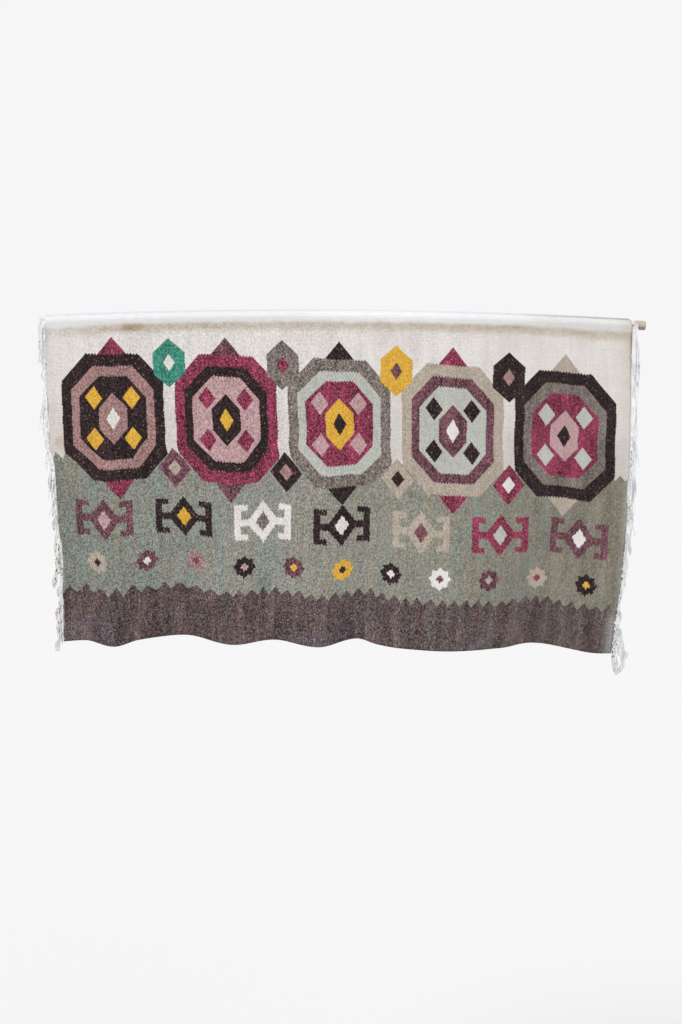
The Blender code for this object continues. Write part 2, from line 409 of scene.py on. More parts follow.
def smooth(term, low, high):
    """0 below low, 1 above high, and an easy curve between."""
    made = Term.tree.nodes.new("ShaderNodeMapRange")
    made.interpolation_type = "SMOOTHSTEP"
    made.clamp = True
    plug(made.inputs["Value"], term)
    made.inputs["From Min"].default_value = low
    made.inputs["From Max"].default_value = high
    return Term(made.outputs["Result"])


def place(x, y, z=0.0):
    """A vector from three numbers."""
    made = Term.tree.nodes.new("ShaderNodeCombineXYZ")
    for pin, part in zip(made.inputs, (x, y, z)):
        plug(pin, part)
    return made.outputs[0]


def split(vector):
    """The three numbers of a vector."""
    made = Term.tree.nodes.new("ShaderNodeSeparateXYZ")
    plug(made.inputs[0], vector)
    return [Term(pin) for pin in made.outputs]


def own_place():
    """Where in its piece a point is, in metres."""
    return split(Term.tree.nodes.new("ShaderNodeTexCoord").outputs["Object"])


def noise(vector, detail=2.0, roughness=0.5):
    """Smooth noise about 0.5, one bump to a unit."""
    made = Term.tree.nodes.new("ShaderNodeTexNoise")
    made.inputs["Scale"].default_value = 1.0
    made.inputs["Detail"].default_value = detail
    made.inputs["Roughness"].default_value = roughness
    plug(made.inputs["Vector"], vector)
    return Term(made.outputs["Fac"])


def grain(x, y):
    """A number from 0 to 1 that differs from cell to cell."""
    made = Term.tree.nodes.new("ShaderNodeTexWhiteNoise")
    made.noise_dimensions = "2D"
    plug(made.inputs["Vector"], place(floor(x), floor(y)))
    return Term(made.outputs["Value"])


def mix(share, under, over, way="MIX"):
    """Two colours mixed by a share."""
    made = Term.tree.nodes.new("ShaderNodeMix")
    made.data_type = "RGBA"
    made.blend_type = way
    plug(made.inputs[0], share)
    plug(made.inputs[6], under)
    plug(made.inputs[7], over)
    return made.outputs[2]


def pick(index, colours):
    """One of several colours by a whole number from 0."""
    made = Term.tree.nodes.new("ShaderNodeValToRGB")
    made.color_ramp.interpolation = "CONSTANT"
    stops = made.color_ramp.elements
    while len(stops) < len(colours):
        stops.new(1.0)
    for k, (stop, colour) in enumerate(zip(stops, colours)):
        stop.position = k / len(colours)
        stop.color = colour
    plug(made.inputs[0], (index + 0.5) / len(colours))
    return made.outputs[0]


def ramp(share, stops):
    """A colour that passes through others, each at its place from 0 to 1."""
    made = Term.tree.nodes.new("ShaderNodeValToRGB")
    elements = made.color_ramp.elements
    while len(elements) < len(stops):
        elements.new(1.0)
    for element, (where, colour) in zip(elements, stops):
        element.position = where
        element.color = colour
    plug(made.inputs[0], share)
    return made.outputs[0]


def bright(colour, amount):
    """A colour made lighter or darker by an amount about 1."""
    made = Term.tree.nodes.new("ShaderNodeVectorMath")
    made.operation = "SCALE"
    plug(made.inputs[0], colour)
    plug(made.inputs["Scale"], amount)
    return made.outputs[0]


def new_material(name, roughness, sheen):
    """A Principled material whose tree the terms then build in."""
    made = bpy.data.materials.new(name)
    made.use_nodes = True
    shader = made.node_tree.nodes["Principled BSDF"]
    shader.inputs["Roughness"].default_value = roughness
    shader.inputs["Specular IOR Level"].default_value = 0.25
    shader.inputs["Sheen Weight"].default_value = sheen
    shader.inputs["Sheen Roughness"].default_value = 0.6
    Term.tree = made.node_tree
    return made, shader


def bump(shader, height, distance, strength):
    """Relief too fine for the mesh: height from 0 to 1 over a distance in metres."""
    made = Term.tree.nodes.new("ShaderNodeBump")
    made.inputs["Distance"].default_value = distance
    made.inputs["Strength"].default_value = strength
    plug(made.inputs["Height"], height)
    plug(shader.inputs["Normal"], made.outputs[0])


# Yarns
CREAM = srgb(227, 222, 218)
BLACK = srgb(43, 30, 31)
CRIMSON = srgb(133, 55, 78)
PLUM = srgb(108, 71, 79)
YELLOW = srgb(220, 170, 64)
EMERALD = srgb(65, 138, 120)
TAUPE = srgb(122, 112, 105)
BEIGE = srgb(177, 164, 150)
PALE = srgb(187, 188, 179)
PINK = srgb(188, 153, 154)
SALMON = srgb(159, 124, 121)

# Dye lots of the grounds. The two rows go across the cloth from left to right. They started as mean tones
# read from parts of the photograph, and were changed until the mean tones in the render agreed
CREAM_LOW = srgb(206, 200, 195)
CREAM_ROSY = srgb(222, 212, 208)
SAGE_ACROSS = (
    (0.0, srgb(127, 130, 121)),
    (0.36, srgb(146, 145, 136)),
    (0.62, srgb(142, 140, 129)),
    (1.0, srgb(122, 116, 103)),
)
SAGE_COOL = srgb(127, 143, 137)
SAGE_WARM = srgb(145, 137, 119)
PLUM_ACROSS = (
    (0.0, srgb(88, 74, 74)),
    (0.33, srgb(96, 81, 80)),
    (0.50, srgb(92, 79, 78)),
    (0.70, srgb(94, 84, 82)),
    (1.0, srgb(85, 75, 70)),
)
PLUM_DARK = srgb(79, 66, 64)
PLUM_LIGHT = srgb(108, 90, 88)
PLUM_RED = srgb(100, 67, 71)
PLUM_GREEN = srgb(85, 83, 75)
PLUM_BLUE = srgb(94, 90, 102)

# Bleached and felted wool, both partly painted light, and tints that multiply the colour under them: the
# sleeve crown's and the edge line's are painted shade, and the yellowed one is partly painted shade
# The sleeve's white, partly painted light down its front
SLEEVE_TOP = srgb(241, 242, 245)
SLEEVE_FRONT = srgb(241, 240, 239)
SLEEVE_RIGHT = srgb(231, 230, 228)
# Painted shade for the sleeve's crown
SLEEVE_CROWN_SHADE = srgb(234, 235, 239)
SOIL_TINT = srgb(230, 221, 205)
BLOTCH_TINT = srgb(214, 199, 175)
STAIN_TINT = srgb(216, 199, 170)
PATCH_TINT = srgb(238, 226, 210)
# Yellowing and painted shade along the right edge
YELLOWED_AND_SHADE_TINT = srgb(242, 236, 225)
# Painted shade for a thin line along the sleeve's top and the cloth's right edge
EDGE_SHADE_TINT = srgb(212, 208, 200)
# Pale felted wool, also used as painted light along the sage's right edge
FELTED_AND_LIT = srgb(214, 210, 210)

# Wood and cotton
WOOD = srgb(208, 197, 186)
WOOD_GRAIN = srgb(181, 164, 149)
# Painted shade for the rod's underside
WOOD_UNDERSIDE_SHADE = srgb(196, 179, 158)
COTTON_CLEAN = (srgb(252, 252, 254), srgb(240, 240, 244))
COTTON_USED_LEFT = (srgb(240, 238, 238), srgb(219, 215, 212))
COTTON_USED_RIGHT = (srgb(239, 240, 240), srgb(217, 219, 219))
COTTON_SHADED = srgb(176, 178, 190)
# Painted shadow for the gaps between the fringe's threads
COTTON_GAP_SHADOW = srgb(86, 78, 75)


def lozenge(aside, off, width, height):
    """1 inside a lozenge of a half width and a half height."""
    return aside / width + off / height < 1.0


def hexagon(aside, off, width, height, side):
    """1 inside a hexagon with points above and below and upright sides of a half length."""
    return (aside < width) & (aside * ((height - side) / width) + off < height)


def bar(aside, off, left, right, low, high):
    """1 inside a bar that repeats on both sides of both axes."""
    across = abs(aside - (left + right) / 2) < (right - left) / 2
    return across & (abs(off - (low + high) / 2) < (high - low) / 2)


def octagon(aside, off, level, width, height, cut):
    """1 inside an octagon with its corners cut off, whose level edges may be toothed."""
    return (aside < width) & (level < height) & (aside + off * 0.9 < width + height * 0.9 - cut)


def repeats(x, pitch, count):
    """Which of a row's repeats a place is in, how far it is from that one's middle, and 1 inside the row."""
    index = floor(x / pitch + count / 2)
    return index, abs(x - (index - (count - 1) / 2) * pitch), abs(x) < pitch * count / 2


def paint(figures, index, within, colour):
    """Figures over a colour, each with the yarns of its repeats from left to right."""
    for inside, yarns in figures:
        colour = mix(inside & within, colour, pick(index, yarns))
    return colour


def medallions(x, y, toothed, colour):
    """A row of five large nested octagons, with a lozenge above and below each."""
    index, aside, within = repeats(x, MEDALLION_PITCH, 5)
    off = abs(y - MEDALLION_ROW)
    level = abs(toothed - MEDALLION_ROW)
    figures = (
        (lozenge(aside, abs(off - 0.134), 0.030, 0.037), (CRIMSON, PLUM, BLACK, CRIMSON, BEIGE)),
        (octagon(aside, off, level, 0.1050, 0.133, 0.050), (BLACK, CRIMSON, TAUPE, BEIGE, BLACK)),
        (octagon(aside, off, level, 0.0850, 0.108, 0.044), (SALMON, BLACK, PALE, PLUM, TAUPE)),
        (octagon(aside, off, level, 0.0690, 0.088, 0.040), (BLACK, PINK, CRIMSON, PALE, CRIMSON)),
        (lozenge(abs(aside - 0.039), abs(off - 0.043), 0.018, 0.024), (YELLOW, CRIMSON, PINK, BLACK, PALE)),
        (hexagon(aside, off, 0.029, 0.054, 0.022), (SALMON, BLACK, YELLOW, PLUM, PINK)),
        (lozenge(aside, off, 0.014, 0.024), (CREAM, YELLOW, BLACK, CREAM, BLACK)),
    )
    return paint(figures, index, within, colour)


def jewels(x, y, colour):
    """Hexagons in the gaps above the medallions and lozenges in those below them."""
    index, aside, within = repeats(x, MEDALLION_PITCH, 4)
    high = abs(y - HIGH_JEWEL_ROW)
    low = abs(y - LOW_JEWEL_ROW)
    figures = (
        (hexagon(aside, high, 0.033, 0.052, 0.022), (EMERALD, TAUPE, YELLOW, BLACK)),
        (lozenge(aside, high, 0.012, 0.018), (CREAM, CRIMSON, PLUM, SALMON)),
        (lozenge(aside, low, 0.034, 0.043), (PLUM, BLACK, BEIGE, CRIMSON)),
        (lozenge(aside, low, 0.014, 0.018), (BEIGE, SALMON, BLACK, CREAM)),
    )
    return paint(figures, index, within, colour)


def horns(x, y, colour):
    """A row of paired ram's horns on the middle ground."""
    index, aside, within = repeats(x, HORN_PITCH, 7)
    off = abs(y - HORN_ROW)
    body = lozenge(aside, off, 0.034, 0.044)
    body = body | bar(aside, off, 0.0, 0.060, -0.0075, 0.0075)
    body = body | bar(aside, off, 0.046, 0.060, -0.037, 0.037)
    body = body | bar(aside, off, 0.032, 0.060, 0.025, 0.037)
    heart = lozenge(aside, off, 0.015, 0.021)
    figures = (
        (body, (PLUM, BLACK, CREAM, BLACK, BEIGE, CRIMSON, PLUM)),
        (heart, (PINK, YELLOW, TAUPE, CREAM, PLUM, PALE, CREAM)),
    )
    return paint(figures, index, within, colour)


def stars(x, y, colour):
    """A row of small eight-pointed stars along the lower part of the middle ground."""
    index, aside, within = repeats(x, STAR_PITCH, 11)
    off = abs(y - STAR_ROW)
    body = (aside < 0.0170) & (off < 0.0170)
    body = body | (aside + off < 0.0245)
    heart = aside + off < 0.0090
    figures = (
        (body, (BEIGE, PLUM, SALMON, BLACK, PLUM, YELLOW, BLACK, CREAM, PLUM, BEIGE, BLACK)),
        (heart, (BLACK, CREAM, PLUM, PINK, YELLOW, BLACK, CREAM, PLUM, BEIGE, CRIMSON, YELLOW)),
    )
    return paint(figures, index, within, colour)


def grounds(u, run, x, y):
    """Cream above, then sage, and plum along the hem, each woven from several dye lots in turn."""
    across = u / CLOTH_WIDTH + 0.5
    rosy = smooth(noise(place(u * 7, run * 9, 11.0), 2.0), 0.45, 0.65)
    cream = mix(smooth(run, 0.10, 0.34), CREAM, CREAM_LOW)
    cream = mix(rosy * 0.5, cream, CREAM_ROSY)

    lot = noise(place(u * 42, run * 5, 1.5), 3.0)
    sage = ramp(across, SAGE_ACROSS)
    sage = mix(smooth(lot, 0.50, 0.66) * (0.45 - smooth(u, 0.15, 0.50) * 0.2), sage, SAGE_COOL)
    sage = mix(smooth(lot, 0.48, 0.34) * 0.45, sage, SAGE_WARM)
    depth = saw((x + 0.5804) / SAGE_TIP_PITCH) * (0.0135 - x * 0.005)
    colour = mix(y > SAGE_TIPS + depth, cream, sage)

    lot = noise(place(u * 75, run * 4, 4.5), 3.0)
    hue = noise(place(u * 38, run * 3, 14.0), 3.0)
    cool = noise(place(u * 9, run * 14, 15.0), 2.0)
    plum = ramp(across, PLUM_ACROSS)
    plum = mix(smooth(lot, 0.50, 0.62) * 0.7, plum, PLUM_DARK)
    plum = mix(smooth(lot, 0.48, 0.36) * 0.65, plum, PLUM_LIGHT)
    plum = mix(smooth(hue, 0.52, 0.64) * 0.35, plum, PLUM_RED)
    plum = mix(smooth(hue, 0.46, 0.36) * 0.30, plum, PLUM_GREEN)
    plum = mix(smooth(cool, 0.50, 0.62) & smooth(run, 0.610, 0.680) * 0.28, plum, PLUM_BLUE)
    turns = x / PLUM_TIP_PITCH - Term.math("MINIMUM", x + 0.24, 0.0) * 9.3
    turns = turns + (noise(place(x * 21, 0.0, 17.0), 1.0) - 0.5) * 0.7
    wander = noise(place(x * 17, 0.0, 9.0), 1.0) * 0.012 - 0.006
    valleys = PLUM_TIPS + 0.0150 - x * 0.0153 + wander
    tall = grain(turns, 3.0) * 0.008 + 0.0115
    return mix(y > valleys - (1.0 - saw(turns)) * tall, colour, plum)


def fuzz(u, run):
    """Fine unevenness of the wool, about 0."""
    return noise(place(u * 330, run * 240, 3.0), 1.0) - 0.5


def spun(u, run, weft, turn, colour):
    """Yarn that differs from weft to weft, and is flecked, most of all where it is dark."""
    grey = Term.tree.nodes.new("ShaderNodeRGBToBW")
    plug(grey.inputs[0], colour)
    light = Term(grey.outputs[0])
    dark = smooth(light, 0.62, 0.15)
    deep = smooth(light, 0.26, 0.10)
    darkest = smooth(light, 0.06, 0.02)
    dye = noise(place(u * 38, run * 8, 21.0), 2.0) - 0.5
    streak = noise(place(u * 260, run * 5, 8.0), 3.0, 0.7) - 0.5
    rib_streak = noise(place(u * 30, run * 420, 5.0), 2.0) - 0.5
    beads = grain(weft, turn) - 0.5
    speck = fuzz(u, run)
    crisp = 1.0 - smooth(u, 0.15, 0.50) * (0.55 - deep * 0.27)
    lively = smooth(abs(u + 0.25), 0.36, 0.15) * 0.09
    share = (dark * 0.50 + deep * 0.46 + darkest * 0.86 + lively + 0.15) * crisp
    amount = streak * (dark * 0.30 + 0.18) + rib_streak * 0.14 + dye * (deep * 1.5 + 0.3) + 1.0
    amount = amount + (beads * 1.42 + speck * 0.3) * share + speck * darkest * crisp * 2.2
    colour = bright(colour, Term.math("MAXIMUM", amount, 0.25))
    worn = smooth(grain(weft + 900.0, turn), 0.93, 0.96) & (deep * 0.7 + dark * 0.3)
    return bright(colour, worn * crisp * (darkest * 2.8 + 1.0) + 0.99)


def sleeve_wear(u, run, colour):
    """The sleeve whitened by bleaching and painted lighter down its front, painted shade on its crown, and
    the cloth soiled where it was handled below the rod.
    """
    # Whitened wool, brighter and carried further down the front than the bleaching alone: painted light
    # where the sleeve turns downward
    bleached_and_lit = mix(smooth(run, 0.015, 0.024), SLEEVE_TOP, SLEEVE_FRONT)
    bleached_and_lit = mix(smooth(u, 0.34, 0.45), bleached_and_lit, SLEEVE_RIGHT)
    # Painted highlight over the middle of the sleeve
    bleached_and_lit = bright(bleached_and_lit, smooth(abs(u - 0.09), 0.19, 0.09) * 0.06 + 1.0)
    # Painted shade: the sleeve's crown darker and bluer
    bleached_and_lit = mix(smooth(run, 0.015, 0.003), bleached_and_lit, SLEEVE_CROWN_SHADE, "MULTIPLY")
    bleached_and_lit = bright(bleached_and_lit, (noise(place(u * 60, run * 90, 12.0), 3.0) - 0.5) * 0.14 + 1.0)
    bleached_and_lit = bright(bleached_and_lit, (noise(place(u * 420, run * 50, 16.0), 2.0) - 0.5) * 0.10 + 1.0)
    sag = noise(place(u * 15, 0.0, 5.0), 2.0) * 0.020 - 0.010 - smooth(abs(u + 0.01), 0.42, 0.58) * 0.008
    # Share of the whitened wool, reaching down the front further than bleaching alone, as painted light
    bleached_and_lit_share = smooth(run + sag * 0.5, 0.0350, 0.0240) & smooth(run, -0.020, -0.004)
    colour = mix(bleached_and_lit_share, colour, bleached_and_lit)

    front = smooth(run, 0.0, 0.001)
    soil = smooth(run + sag * 0.5, 0.0255, 0.0360) & smooth(run + sag, 0.0560, 0.0385) & front
    end_left = smooth(u, -0.46, -0.54) * 0.45 + smooth(u, -0.54, -0.59) * 0.43
    soil = soil * (1.0 - end_left - smooth(abs(u + 0.02), 0.22, 0.15) * 0.28 - smooth(u, 0.54, 0.60) * 0.25)
    blotch = noise(place(u * 60, run * 110, 6.0), 4.0, 0.65)
    colour = mix(soil & (smooth(blotch, 0.25, 0.70) * 0.5 + 0.5), colour, SOIL_TINT, "MULTIPLY")
    colour = mix(soil & smooth(blotch, 0.56, 0.72) * 0.45, colour, BLOTCH_TINT, "MULTIPLY")
    stain = smooth(abs(u - STAIN[0]), 0.030, 0.002) & smooth(abs(run - STAIN[1]), 0.015, 0.001)
    colour = mix(stain & (smooth(blotch, 0.30, 0.60) * 0.5 + 0.5), colour, STAIN_TINT, "MULTIPLY")
    drag = noise(place(u * 430, run * 70, 7.0), 2.0) - 0.5
    return bright(colour, drag * soil * 0.30 + 1.0)


def old_marks(u, run, colour):
    """A patch by the left fringe, and at the right edge yellowing with painted shade, pale matted wool by
    the hem corner, painted light along the edge of the sage, and a line of painted shade along the sleeve's
    top and at its top corner.
    """
    patch = noise(place(u * 120, run * 120, 2.0), 3.0) * 0.9 + 0.3
    across = u - WORN_PATCH[0]
    down = run - WORN_PATCH[1]
    far = across * across * 5000.0 + down * down * 5000.0
    far = far + noise(place(u * 50, run * 50, 3.0), 2.0) * 1.2 - 0.6
    colour = mix(smooth(far, 1.5, 0.0) & patch, colour, PATCH_TINT, "MULTIPLY")
    # Yellowing, and painted shade, in a band along the right edge below the sleeve
    yellowed_and_shaded = smooth(u, 0.566, 0.594) & smooth(run, 0.25, 0.10) & patch
    colour = mix(yellowed_and_shaded, colour, YELLOWED_AND_SHADE_TINT, "MULTIPLY")
    felted_and_lit = smooth(u, 0.570, 0.607) & smooth(run, 0.600, 0.640) * 0.55
    # Painted light: the sage's right edge made paler where the fringe's roots shade it
    felted_and_lit = felted_and_lit | (smooth(u, 0.586, 0.604) & smooth(run, 0.25, 0.32) * 0.36)
    colour = mix(felted_and_lit & (fuzz(u, run) * 1.4 + 1.0), colour, FELTED_AND_LIT)
    # Painted shade: a thin dark line along the sleeve's top right and down the right edge
    line = smooth(u, 0.30, 0.55) & smooth(run, 0.0105, 0.0070) & (smooth(run, 0.0, 0.006) * 0.6 + 0.4)
    line = line | (smooth(u, 0.5985, 0.6000) & smooth(run, 0.11, 0.05) * 0.4)
    return mix(line & patch, colour, EDGE_SHADE_TINT, "MULTIPLY")


def waver(x, y):
    """How far the weaver's lines stray up or down."""
    return (noise(place(x * 9, y * 2)) - 0.5) * 0.012


def kilim():
    """Weft-faced wool: three grounds with toothed edges and rows of geometric figures."""
    made, shader = new_material("kilim_weave", 0.92, 0.12)
    shader.inputs["Specular IOR Level"].default_value = 0.10
    coordinates = Term.tree.nodes.new("ShaderNodeUVMap")
    coordinates.uv_map = "weave"
    u, run, _ = split(coordinates.outputs[0])

    # Beads of weft, staggered from one warp to the next
    turn = run / WARP_PITCH
    stagger = (floor(turn) % 2.0) * 0.5
    weft = u / WEFT_PITCH + stagger

    # A colour changes from one weft to the next, or along the wefts by turning round a warp
    x = (floor(weft) + 0.5 - stagger) * WEFT_PITCH
    comb = (floor(u / TOOTH) % 2.0) * WARP_PITCH
    toothed = (floor((run + comb * 0.75) / WARP_PITCH * 2) + 0.5) * (WARP_PITCH / 2)
    toothed = toothed - (x / CLOTH_WIDTH + 0.5) * DRIFT
    toothed = toothed + waver(x, toothed)
    x = x + (noise(place(x * 2 + 7.3, toothed * 14)) - 0.5) * 0.008
    y = run - (x / CLOTH_WIDTH + 0.5) * DRIFT
    y = y + waver(x, y)

    colour = grounds(u, run, x, y)
    colour = medallions(x, y, toothed, colour)
    colour = jewels(x, y, colour)
    colour = horns(x, toothed, colour)
    colour = stars(x, toothed, colour)
    colour = spun(u, run, weft, turn, colour)
    colour = sleeve_wear(u, run, colour)
    colour = old_marks(u, run, colour)

    # Ribs over the warps, each of them beads of weft, with painted shade in the hollows between them
    rib = saw(turn)
    bead = saw(weft)
    rib = rib * rib
    bead = bead * bead
    hollow_shade = rib * rib * 0.5 + bead * bead * 0.5
    plug(shader.inputs["Base Color"], bright(colour, 1.08 - hollow_shade * 0.40))
    bump(shader, 1.0 - (rib * 0.55 + bead * 0.45), 0.0006, 0.8)
    return made


def rod_wood():
    """Pale dowel with fine grain along it, and painted shade on its underside."""
    made, shader = new_material("rod_wood", 0.6, 0.0)
    x, y, z = own_place()
    lines = noise(place(x * 14, y * 420, z * 420), 4.0, 0.6)
    cloud = noise(place(x * 30, y * 60, z * 60), 2.0)
    colour = mix(smooth(lines, 0.35, 0.70), WOOD, WOOD_GRAIN)
    colour = bright(colour, cloud * 0.3 + 0.85)
    upward = split(Term.tree.nodes.new("ShaderNodeNewGeometry").outputs["Normal"])[2]
    # Painted shade: the wood darker where its surface faces down
    colour = mix(smooth(upward, 0.2, -0.7) * 0.9, colour, WOOD_UNDERSIDE_SHADE, "MULTIPLY")
    plug(shader.inputs["Base Color"], colour)
    bump(shader, lines, 0.0002, 0.5)
    return made


def cotton():
    """White twisted warp yarn, greyer towards the hem, with painted shadow spots between its threads, most
    of them towards the hem.
    """
    made, shader = new_material("fringe_cotton", 0.9, 0.1)
    x, y, z = own_place()
    cloud = smooth(noise(place(x * 90, y * 90, z * 40), 3.0), 0.35, 0.65)
    right = smooth(x, -0.2, 0.2)
    used = mix(right, mix(cloud, *COTTON_USED_LEFT), mix(cloud, *COTTON_USED_RIGHT))
    colour = mix(smooth(z, -0.22, -0.42), mix(cloud, *COTTON_CLEAN), used)
    dim = smooth(noise(place(x * 150, y * 60, z * 90 + 4.0), 2.0), 0.60, 0.68) & smooth(z, -0.24, -0.14)
    colour = mix(dim * 0.7, colour, COTTON_SHADED)
    strand = noise(place(x * 520, y * 150, z * 260 + 9.0), 2.0)
    colour = bright(colour, (strand - 0.5) * (0.34 - smooth(z, -0.42, -0.22) * 0.20) + 1.0)
    # Painted shadows: dark spots where gaps between the threads lie in shade
    shadow_spots = noise(place(x * 260, y * 120, z * 200), 2.0)
    often = (smooth(z, -0.10, -0.50) * 0.85 + 0.12) & (1.0 - right * smooth(z, -0.64, -0.60) * 0.6)
    inner = smooth(x, 0.584, 0.574) & smooth(z, -0.630, -0.650) & smooth(z, -0.720, -0.704)
    shadow_spots = shadow_spots + right * (inner * 0.085 - smooth(z, -0.60, -0.64) * 0.03)
    colour = mix(smooth(shadow_spots, 0.60, 0.67) & often, colour, COTTON_GAP_SHADOW)
    plug(shader.inputs["Base Color"], colour)
    twist = saw(z * 700 + x * 500 + y * 500)
    bump(shader, twist, 0.0002, 0.6)
    return made


def finish_piece(piece, material):
    """Gives a piece its material and the body it rides on."""
    piece.data.materials.clear()
    piece.data.materials.append(material)
    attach(piece, "root")


def make_cloth(material):
    """The panel with its sleeve as one sheet, finer than the solid and with its small relief."""
    runs = row_runs()
    columns = [share_of(k / CLOTH_COLUMNS) for k in range(CLOTH_COLUMNS + 1)]
    rows = [cloth_row(run, columns) for run in runs]
    last_row = len(rows) - 1
    bpy.ops.mesh.primitive_grid_add(x_subdivisions=CLOTH_COLUMNS, y_subdivisions=last_row, size=1.0)
    cloth = bpy.context.object
    cloth.name = "kilim"
    mesh = cloth.data
    flat = []
    for vertex in mesh.vertices:
        i = round((vertex.co.x + 0.5) * CLOTH_COLUMNS)
        j = round((vertex.co.y + 0.5) * last_row)
        u = (i / CLOTH_COLUMNS - 0.5) * CLOTH_WIDTH
        flat.append((u, runs[j]))
        along = rows[j][min(i + 1, CLOTH_COLUMNS)] - rows[j][max(i - 1, 0)]
        down = rows[min(j + 1, last_row)][i] - rows[max(j - 1, 0)][i]
        vertex.co = rows[j][i] + down.cross(along).normalized() * relief(u, runs[j])
    for layer in list(mesh.uv_layers):
        mesh.uv_layers.remove(layer)
    layer = mesh.uv_layers.new(name="weave")
    for loop in mesh.loops:
        layer.data[loop.index].uv = flat[loop.vertex_index]
    mesh.shade_smooth()
    thicken = cloth.modifiers.new("Thickness", "SOLIDIFY")
    thicken.thickness = CLOTH_THICKNESS
    thicken.offset = 0.0
    thicken.use_even_offset = True
    finish_piece(cloth, material)
    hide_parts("cloth")
    return cloth


def new_curve(name, depth, resolution):
    """An empty curve object that becomes round tubes with closed ends."""
    data = bpy.data.curves.new(name, "CURVE")
    data.dimensions = "3D"
    data.bevel_depth = depth
    data.bevel_resolution = resolution
    data.use_fill_caps = True
    made = bpy.data.objects.new(name, data)
    bpy.context.scene.collection.objects.link(made)
    return made


def add_tube(curve, stations):
    """Adds one tube through stations, each a place and a radius in metres."""
    spline = curve.data.splines.new("POLY")
    spline.points.add(len(stations) - 1)
    for point, (where, radius) in zip(spline.points, stations):
        point.co = (*where, 1.0)
        point.radius = radius / curve.data.bevel_depth


def make_rod(material):
    """The dowel, bowed a little, with its ends eased by hand."""
    rod = new_curve("dowel", ROD_RADIUS, 10)
    left_end = ROD_RIGHT_END - ROD_LENGTH
    stations = [(left_end + step, ROD_RADIUS - cut) for step, cut in ROD_EASE]
    stations += [(left_end + ROD_LENGTH * k / 80, ROD_RADIUS) for k in range(1, 80)]
    stations += [(ROD_RIGHT_END - step, ROD_RADIUS - cut) for step, cut in reversed(ROD_EASE)]
    add_tube(rod, [(Vector((x, 0.0, rod_height(x))), radius) for x, radius in stations])
    finish_piece(rod, material)
    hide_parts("rod")


def curve_through(points, samples):
    """Points along a smooth curve through the given ones."""
    found = []
    for k in range(samples + 1):
        t = k / samples * (len(points) - 1)
        i = min(int(t), len(points) - 2)
        t -= i
        before = points[max(i - 1, 0)]
        start = points[i]
        end = points[i + 1]
        after = points[min(i + 2, len(points) - 1)]
        bend = 2 * before - 5 * start + 4 * end - after
        turn = 3 * start - before - 3 * end + after
        found.append(start + 0.5 * t * (end - before) + 0.5 * t * t * bend + 0.5 * t * t * t * turn)
    return found


def smooth_step(low, high, value):
    """0 below low, 1 above high, and an easy curve between."""
    share = min(max((value - low) / (high - low), 0.0), 1.0)
    return share * share * (3 - 2 * share)


def add_knot(fringe, heart, size, chance):
    """Two turns of yarn round a bundle."""
    for lift in (0.0008, -0.0008):
        tilt = chance.uniform(-0.5, 0.5)
        phase = chance.uniform(0.0, math.tau)
        loop = []
        for n in range(11):
            turn = math.tau * n / 10
            spot = Vector((math.cos(turn), math.sin(turn), math.cos(turn + phase) * tilt)) * size
            loop.append((heart + spot + Vector((0.0, 0.0, lift)), YARN_RADIUS * 1.25))
        add_tube(fringe, loop)


def add_loop(fringe, corner, chance):
    """A flat loop of loose yarn in front of the corner, its plies side by side."""
    path = [corner + Vector((across, -0.0060 - 0.0004 * n, above)) for n, (across, above) in enumerate(LOOP)]
    line = curve_through(path, 34)
    for ply in range(LOOP_PLIES):
        aside = (ply / (LOOP_PLIES - 1) - 0.5) * LOOP_WIDTH
        phase = chance.uniform(0.0, math.tau)
        stations = []
        for n, spot in enumerate(line):
            along = line[min(n + 1, len(line) - 1)] - line[max(n - 1, 0)]
            outward = Vector((along.z, 0.0, -along.x)).normalized()
            ends = min(n, len(line) - 1 - n, 4) / 4
            spread = aside * (0.45 + 0.55 * ends) + 0.0006 * math.sin(n * 0.9 + phase)
            layer = Vector((0.0, 0.0010 * math.sin(n * 0.5 + phase), 0.0))
            stations.append((spot + outward * spread + layer, YARN_RADIUS))
        add_tube(fringe, stations)
    add_knot(fringe, line[1], 0.0021, chance)


